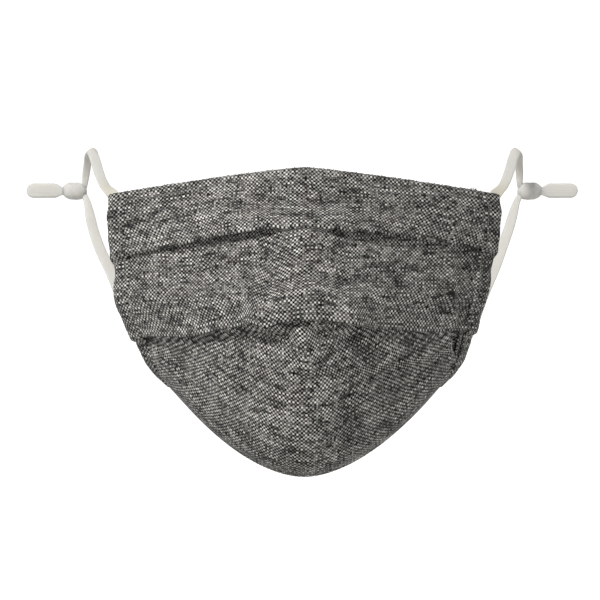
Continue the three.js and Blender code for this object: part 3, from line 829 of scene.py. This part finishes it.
def loopRoute(side):
    strandEnd = knotMiddles[side] - np.array([knot["length"] / 2 - loop["strandIn"], 0, 0])
    apart = np.array([0, 0, loop["strandGap"]])
    start, end = strandEnd - apart, strandEnd + apart
    ruler = columnRuler(1.0)
    clear = form["clearance"]
    high, low = casing["cut"] / 3, ruler[-1] - casing["cut"] / 3
    below = channelStop(ruler, low, -loop["turnBack"])[0]
    above = channelStop(ruler, high, -clear, 1.3 * mm)
    route = [(start, sideways, loop["gathered"])]
    for way, outRight, outLeft, back, gather in lowerStrand:
        bow = np.array([outRight if side == 1 else outLeft, back, 0]) * loop["bow"]
        route.append((mix(start, below, way) + bow, sideways, gather))
    route += [
        channelStop(ruler, low - loop["turnBack"] / 2, -loop["turnBack"] - loop["thickness"], clear),
        channelStop(ruler, low + loop["thickness"] / 2, -loop["turnBack"] / 2, clear),
        channelStop(ruler, low - loop["thickness"], -clear / 2, clear),
    ]
    for stop in range(loop["channelStops"], 0, -1):
        length = mix(casing["cut"], low - casing["cut"], stop / loop["channelStops"])
        route.append(channelStop(ruler, length, 0.0))
    route.append(above)
    for way, out, rise in upperStrand:
        route.append((mix(above[0], loopTop, way) + np.array([out, 0, rise]) * mm, sideways, 0.86))
    route.append((loopTop, sideways, 0.85))
    for way, out, back, gather in returnStrand:
        route.append((mix(loopTop, end, way) + np.array([out, back, 0]) * mm, sideways, gather))
    route.append((end, sideways, loop["gathered"]))
    return route


def between(t, early, start, late, end):
    return (late - t) / (late - early) * start + (t - early) / (late - early) * end


def throughStops(stops, perStop):  # a smooth curve through the stops, evenly eased between them
    values = np.array([np.concatenate([point, wide, [gather]]) for point, wide, gather in stops])
    values = np.vstack([2 * values[0] - values[1], values, 2 * values[-1] - values[-2]])
    knots = np.concatenate([[0], np.cumsum(np.sqrt(lengthOf(np.diff(values[:, :3], axis=0))))])
    made = []
    for leg in range(len(stops) - 1):
        t0, t1, t2, t3 = knots[leg:leg + 4]
        p0, p1, p2, p3 = values[leg:leg + 4]
        for t in np.linspace(t1, t2, perStop, endpoint=False):
            middle = between(t, t1, p1, t2, p2)
            before = between(t, t0, between(t, t0, p0, t1, p1), t2, middle)
            after = between(t, t1, middle, t3, between(t, t2, p2, t3, p3))
            made.append(between(t, t1, before, t2, after))
    made.append(values[-2])
    return np.array(made)


def bandTube(line, width, thickness, sides, cup):  # a flat band with round edges along a line
    ahead = unit(np.gradient(line[:, :3], axis=0))
    wide = unit(line[:, 3:6] - ahead * (line[:, 3:6] * ahead).sum(axis=1)[:, None])
    thick = np.cross(ahead, wide)
    angle = np.linspace(0, 2 * math.pi, sides + 1)
    acrossShape, depthShape = curved(np.cos(angle), 0.75), curved(np.sin(angle), 0.7)
    half = width / 2 * line[:, 6][:, None]
    fuller = thickness / 2 * (1 + 1.2 * (1 - np.clip(line[:, 6], 0, 1)))[:, None]
    bend = cup[:, None] * acrossShape[None, :] ** 2
    points = line[:, None, :3] + wide[:, None, :] * (half * acrossShape)[..., None]
    return points + thick[:, None, :] * (fuller * depthShape + bend)[..., None]


def addAged(piece, point, size):  # how yellow the elastic is, strongest beside one place
    layer = piece.data.attributes.new("aged", "FLOAT", "POINT")
    for vert, value in zip(piece.data.vertices, layer.data):
        value.value = 0.5 * math.exp(-((vert.co - Vector(point)).length / size) ** 2)


def mirrorPoints(points, side):
    return points * np.array([side, 1, 1])


def knotSurface():  # the elastic pulled tight round itself: a smooth barrel with a few slanting creases
    way, angle = np.meshgrid(np.linspace(-1, 1, 41), np.linspace(0, 2 * math.pi, 33), indexing="ij")
    barrel = (1 - np.abs(way) ** 3.2 * 0.78) * (1 - 0.12 * smooth(way, 0.3, 1))
    slant = angle + 2.2 * way
    creases = 0
    for turn in knot["creaseTurns"]:
        creases += hill(np.mod(slant - turn, 2 * math.pi), math.pi, knot["creaseHalf"])
    barrel = barrel * (1 - knot["crease"] * creases * (1 - way ** 2)) * (1 + 0.03 * np.sin(2 * slant + 1))
    return np.stack([
        way * knot["length"] / 2,
        np.cos(angle) * barrel * knot["depth"] / 2,
        np.sin(angle) * barrel * knot["height"] / 2 + knot["tilt"] * way,
    ], axis=-1)


def tailSurface():  # the looped end: two layers of the band, one behind the other
    start, end, radius = knot["length"] / 2 - 0.8 * mm, knot["tail"] + 0.2 * mm, knot["tailHeight"] / 2
    rounding = end - radius + radius * np.sin(np.linspace(0, math.pi / 2 - 0.05, 14)[1:])
    steps = np.concatenate([np.linspace(start, end - radius, 34), rounding])
    x, angle = np.meshgrid(steps, np.linspace(0, 2 * math.pi, 41), indexing="ij")
    opening = smooth(x, start, start + 3.4 * mm)
    rounded = np.sqrt(np.clip(1 - (np.maximum(x - end + radius, 0) / radius) ** 2, 0, 1))
    half = mix(knot["waist"] / 2, radius, opening) * rounded
    up, out = np.cos(angle), np.sin(angle)
    layer = 1 + 0.22 * hill(np.abs(up), 0.74, 0.13) - 0.3 * hill(out, 0, 0.2)
    thick = mix(knot["waist"] * 0.42, knot["tailDepth"] / 2, opening) * rounded ** 0.5
    return np.stack([
        x + 0 * angle,
        curved(out, 0.7) * thick * layer,
        curved(up, 0.85) * half + knot["tailRise"] * opening,
    ], axis=-1)


def surfacePlaces(points):  # around and along a tube, in millimetres
    around, down = lengthDown(points[len(points) // 2]), lengthDown(points.mean(axis=1))
    return np.stack(np.meshgrid(around, down), axis=-1) / mm


def joinPieces(name, parts):
    joined = bmesh.new()
    for part in parts:
        joined.from_mesh(part.data)
        bpy.data.objects.remove(part)
    return addPiece(name, joined)


for side, word in ((1, "right"), (-1, "left")):
    line = throughStops(loopRoute(side), loop["stepsPerStop"])
    topDistance = lengthOf(line[:, :3] - loopTop)
    cup = loop["cup"] * hill(topDistance, 0, loop["cupReach"])
    tube = lean(mirrorPoints(bandTube(line, loop["width"], loop["thickness"], loop["sides"], cup), side))
    band = gridMesh("elasticBand" + word.capitalize(), tube, surfacePlaces(tube), closed=True)
    addAged(band, mirrorPoints(topCorner + np.array(loop["aged"]), side), loop["agedReach"])
    finishPiece(band, bandMaterial, ["ear_loop_" + word])

    parts = []
    for surface in (knotSurface(), tailSurface()):
        tube = mirrorPoints(knotMiddles[side] + surface, side)
        parts.append(gridMesh("part", tube, surfacePlaces(tube), closed=True))
    tied = joinPieces("elasticKnot" + word.capitalize(), parts)
    addAged(tied, (0, 0, 0), 1 * mm)
    finishPiece(tied, bandMaterial, ["ear_knot_" + word])
print("ear loops made")


# Stitches and loose fibres
def normalsOf(points):
    down = np.gradient(points, axis=0)
    outward = np.gradient(points, axis=1)
    return unit(np.cross(down, outward))


def sampleLine(line, place):  # value of a line between its points
    before = min(int(place), len(line) - 2)
    return mix(line[before], line[before + 1], place - before)


def sampleGrid(grid, row, column):
    before = min(int(row), len(grid) - 2)
    return mix(sampleLine(grid[before], column), sampleLine(grid[before + 1], column), row - before)


def roundTube(name, line, outward, flat, high, sides):  # a thread along a line, flatter one way
    ahead = unit(np.gradient(line, axis=0))
    wide = unit(np.cross(ahead, outward))
    up = np.cross(wide, ahead)
    angle = np.linspace(0, 2 * math.pi, sides + 1)
    tube = line[:, None] + wide[:, None] * (flat[:, None] * np.cos(angle))[..., None]
    tube = tube + up[:, None] * (high[:, None] * np.sin(angle))[..., None]
    return gridMesh(name, tube, surfacePlaces(tube), closed=True)


def evenly(line, values, step):  # a line and values that go with it, at even steps of its length
    way = lengthDown(line)
    even = np.arange(0, way[-1], step)
    both = np.concatenate([line, values], axis=1)
    made = np.stack([np.interp(even, way, column) for column in both.T], axis=-1)
    return even, made[:, :3], made[:, 3:]


# A lockstitch: the thread lies on the cloth for most of a stitch and dives into it at each needle hole
stitch = {"length": 2.4 * mm, "radius": 0.15 * mm, "dive": 0.3 * mm, "step": 0.24 * mm}


def stitchTube(line, normals, lift):
    way, line, normals = evenly(line, normals, stitch["step"])
    lying = np.abs(np.sin(way * math.pi / stitch["length"])) ** 0.35
    line = line + normals * (lift - stitch["dive"] * (1 - lying))[:, None]
    radius = np.full(len(way), stitch["radius"])
    return roundTube("seam", line, normals, radius, radius, 6)


bodyNormals = normalsOf(points)
downWay = lengthDown(points)


def seamLine(firstRow, lastRow, distance, fromStart=True):
    line, normals = [], []
    for column in range(2, points.shape[1] - 2):
        way = downWay[firstRow:lastRow, column]
        way = way - way[0] if fromStart else way[-1] - way
        rows = np.arange(firstRow, lastRow)
        order = np.argsort(way)
        row = float(np.interp(distance, way[order], rows[order]))
        line.append(sampleGrid(points, row, column))
        normals.append(sampleGrid(bodyNormals, row, column))
    return np.array(line), np.array(normals)


lastRow = len(points) - 1
seams = []
hemTop = body["hemRows"] + body["turnRows"] // 2
hemBottom = rowStarts["bottomTurn"] + body["turnRows"] // 2
for first, last, fromStart in (
    (hemTop, rowStarts["upper"] + body["upperRows"], True),
    (0, hemTop, False),
    (rowStarts["chin"], hemBottom, False),
    (hemBottom, lastRow + 1, True),
):
    line, normals = seamLine(first, last, body["seam"], fromStart)
    seams.append(stitchTube(line, normals, body["wall"] / 2))
for side, grid in casingGrids.items():
    normals = normalsOf(grid) * side
    column = casing["seam"] / (casing["overlap"] + casing["channel"]) * casing["flapSteps"]
    for place in (column, grid.shape[1] - 1 - column):
        line = np.array([sampleGrid(grid, row, place) for row in range(2, len(grid) - 2)])
        facing = np.array([sampleGrid(normals, row, place) for row in range(2, len(grid) - 2)])
        seams.append(stitchTube(line, facing, casing["wall"] / 2))
seamPiece = joinPieces("seamStitches", seams)
finishPiece(seamPiece, stitchMaterial)

# Crowns of the threads where the cloth turns over an edge, and fibres that stand out of it
edge = {
    "pitch": weaveLook["threadPitch"] * mm,
    "crown": 0.62 * mm,
    "half": 0.36 * mm,
    "sunk": 0.15 * mm,
    "step": 0.12 * mm,
    "fibres": 420,
}


def edgeTube(line, outward, weaveAt, size):
    way, line, values = evenly(line, np.concatenate([outward, weaveAt], axis=1), edge["step"])
    outward, weaveAt = values[:, :3], values[:, 3:]
    number = (way / edge["pitch"]).astype(int)
    grow = np.array([random.uniform(0.35, 1.3) for index in range(number[-1] + 1)])[number]
    arch = np.abs(np.sin(way * math.pi / edge["pitch"])) ** 0.6
    high = edge["crown"] * size * (0.3 + 0.7 * grow * arch)
    half = np.full_like(high, edge["half"])
    tube = roundTube("edge", line - outward * edge["sunk"], outward, half, high, 8)
    for corner in tube.data.uv_layers["weave"].data:
        corner.uv[1] += weaveAt[0, 1]
    return tube


def addFibre(bm, start, out, length, thickness):
    tilt = Vector([random.gauss(0, 0.6) for axis in range(3)])
    way = (Vector(out) + tilt).normalized()
    place = Vector(start) + way * length / 2
    matrix = Matrix.Translation(place) @ way.to_track_quat("Z", "Y").to_matrix().to_4x4()
    bmesh.ops.create_cone(bm, cap_ends=True, segments=3, radius1=thickness, radius2=thickness * 0.3,
                          depth=length, matrix=matrix)


crowns = []
fibres = bmesh.new()
edges = [
    (hemTop, body["hemRows"], rowStarts["upper"] - 1, 1.0),
    (hemBottom, rowStarts["bottomTurn"], rowStarts["bottomTurn"] + body["turnRows"], 0.7),
]
for row, before, after, size in edges:
    out = unit(points[row] - (points[before] + points[after]) / 2)
    line = points[row] + out * body["wall"] / 2
    crowns.append(edgeTube(line, out, bodyPlaces[row], size))
    for index in range(edge["fibres"] // 2):
        column = random.uniform(1, len(line) - 2)
        addFibre(fibres, sampleLine(line, column), sampleLine(out, column),
                 random.uniform(0.25, 0.9) * mm, random.uniform(0.02, 0.045) * mm)
tuft = {"column": 151, "fibres": 46, "way": (0.2, -0.3, 1.0)}  # thread ends at the top right corner
line = points[hemTop]
for index in range(tuft["fibres"]):
    start = sampleLine(line, tuft["column"] + random.uniform(-1.3, 1.3))
    addFibre(fibres, start, tuft["way"], random.uniform(0.9, 2.1) * mm, random.uniform(0.05, 0.1) * mm)
crownPiece = joinPieces("edgeThreads", crowns)
finishPiece(crownPiece, clothMaterial)
fibreWeave = fibres.loops.layers.uv.new("weave")
for face in fibres.faces:
    for corner in face.loops:
        corner[fibreWeave].uv = [value / mm for value in corner.vert.co.xz]
fibrePiece = addPiece("looseFibres", fibres)
finishPiece(fibrePiece, clothMaterial)
print("stitches and fibres made")


# Stage, light and camera
stage = {
    "floor": -0.24,
    "radius": 7.0,
    "curve": 1.6,
    "curveSteps": 12,
    "wall": 3.4,
    "paint": "#bdbdbb",
    # how strongly the paint glows as painted light
    "glow": (0.16, 0.85),  # in front of the mask and well behind it
    "glowFrom": (0.0, 2.0),
}


def paintMaterial():  # matt white studio paint with a roller's faint mottle; it glows as painted light, faintly in front of the mask and strongly well behind it
    material, add = newMaterial("rolledPaintWithGlow")
    place = add("TexCoord").outputs["Object"]
    mottle = add("TexNoise", {}, {"Vector": place, "Scale": 400.0, "Detail": 2.0})
    bump = add("Bump", {}, {
        "Strength": 0.05, "Distance": 0.2 * mm, "Height": mottle.outputs["Fac"]})
    split = add("SeparateXYZ", {}, {0: place})
    # painted light: the paint's glow rises from the front of the mask towards the back
    glow = add("MapRange", {"interpolation_type": "SMOOTHSTEP"}, {
        "Value": split.outputs[1], 1: stage["glowFrom"][0], 2: stage["glowFrom"][1],
        3: stage["glow"][0], 4: stage["glow"][1]})
    shader = add("BsdfPrincipled", {}, {
        "Base Color": linear(stage["paint"]), "Roughness": 0.8, "Emission Color": linear("#ffffff"),
        "Emission Strength": glow, "Normal": bump})
    add("OutputMaterial", {}, {0: shader})
    return material


bowl = bmesh.new()
inner = stage["radius"] - stage["curve"]
outline = [(0, stage["floor"]), (inner, stage["floor"])]
for step in range(1, stage["curveSteps"] + 1):
    angle = math.pi / 2 * step / stage["curveSteps"]
    outline.append((stage["radius"] - stage["curve"] * (1 - math.sin(angle)),
                    stage["floor"] + stage["curve"] * (1 - math.cos(angle))))
outline.append((stage["radius"], stage["floor"] + stage["wall"]))
profile = [bowl.verts.new((out, 0, up)) for out, up in outline]
lines = [bowl.edges.new(pair) for pair in zip(profile[:-1], profile[1:])]
bmesh.ops.spin(bowl, geom=profile + lines, cent=(0, 0, 0), axis=(0, 0, 1), angle=2 * math.pi, steps=64,
               use_merge=True, use_normal_flip=False)
bmesh.ops.remove_doubles(bowl, verts=bowl.verts, dist=1e-5)
bmesh.ops.recalc_face_normals(bowl, faces=bowl.faces)
for face in bowl.faces:
    face.smooth = True
floor = addPiece("studioFloor", bowl)
floor.data.materials.append(paintMaterial())

world = bpy.data.worlds.new("softRoom")
world.use_nodes = True
background = world.node_tree.nodes["Background"]
background.inputs["Color"].default_value = linear("#ffffff")
background.inputs["Strength"].default_value = 0.22
bpy.context.scene.world = world


maskMiddle = Vector((0, 0.02, -0.05))


def addLight(name, place, size, power):  # a round softbox that faces the mask
    light = bpy.data.lights.new(name, "AREA")
    light.shape = "DISK"
    light.size = size
    light.energy = power
    lamp = bpy.data.objects.new(name, light)
    lamp.location = place
    lamp.rotation_euler = (maskMiddle - lamp.location).to_track_quat("-Z", "Y").to_euler()
    bpy.context.scene.collection.objects.link(lamp)


addLight("keySoftbox", (-0.85, -1.5, 1.6), 0.6, 49)
addLight("fillSoftbox", (0.9, -2.2, -0.1), 1.2, 8)

view = {"distance": 3.0, "across": -1.46 * mm, "up": -48.5 * mm, "frameWidth": 219 * mm}
camera = bpy.data.cameras.new("photoCamera")
camera.sensor_width = 36
camera.lens = camera.sensor_width * view["distance"] / view["frameWidth"]
camera.clip_start, camera.clip_end = 0.1, 50
cameraObject = bpy.data.objects.new("photoCamera", camera)
cameraObject.location = (view["across"], -view["distance"], view["up"])
cameraObject.rotation_euler = (math.pi / 2, 0, 0)
bpy.context.scene.collection.objects.link(cameraObject)
bpy.context.scene.camera = cameraObject
bpy.context.scene.view_settings.view_transform = "Standard"
print("stage, lights and camera set")
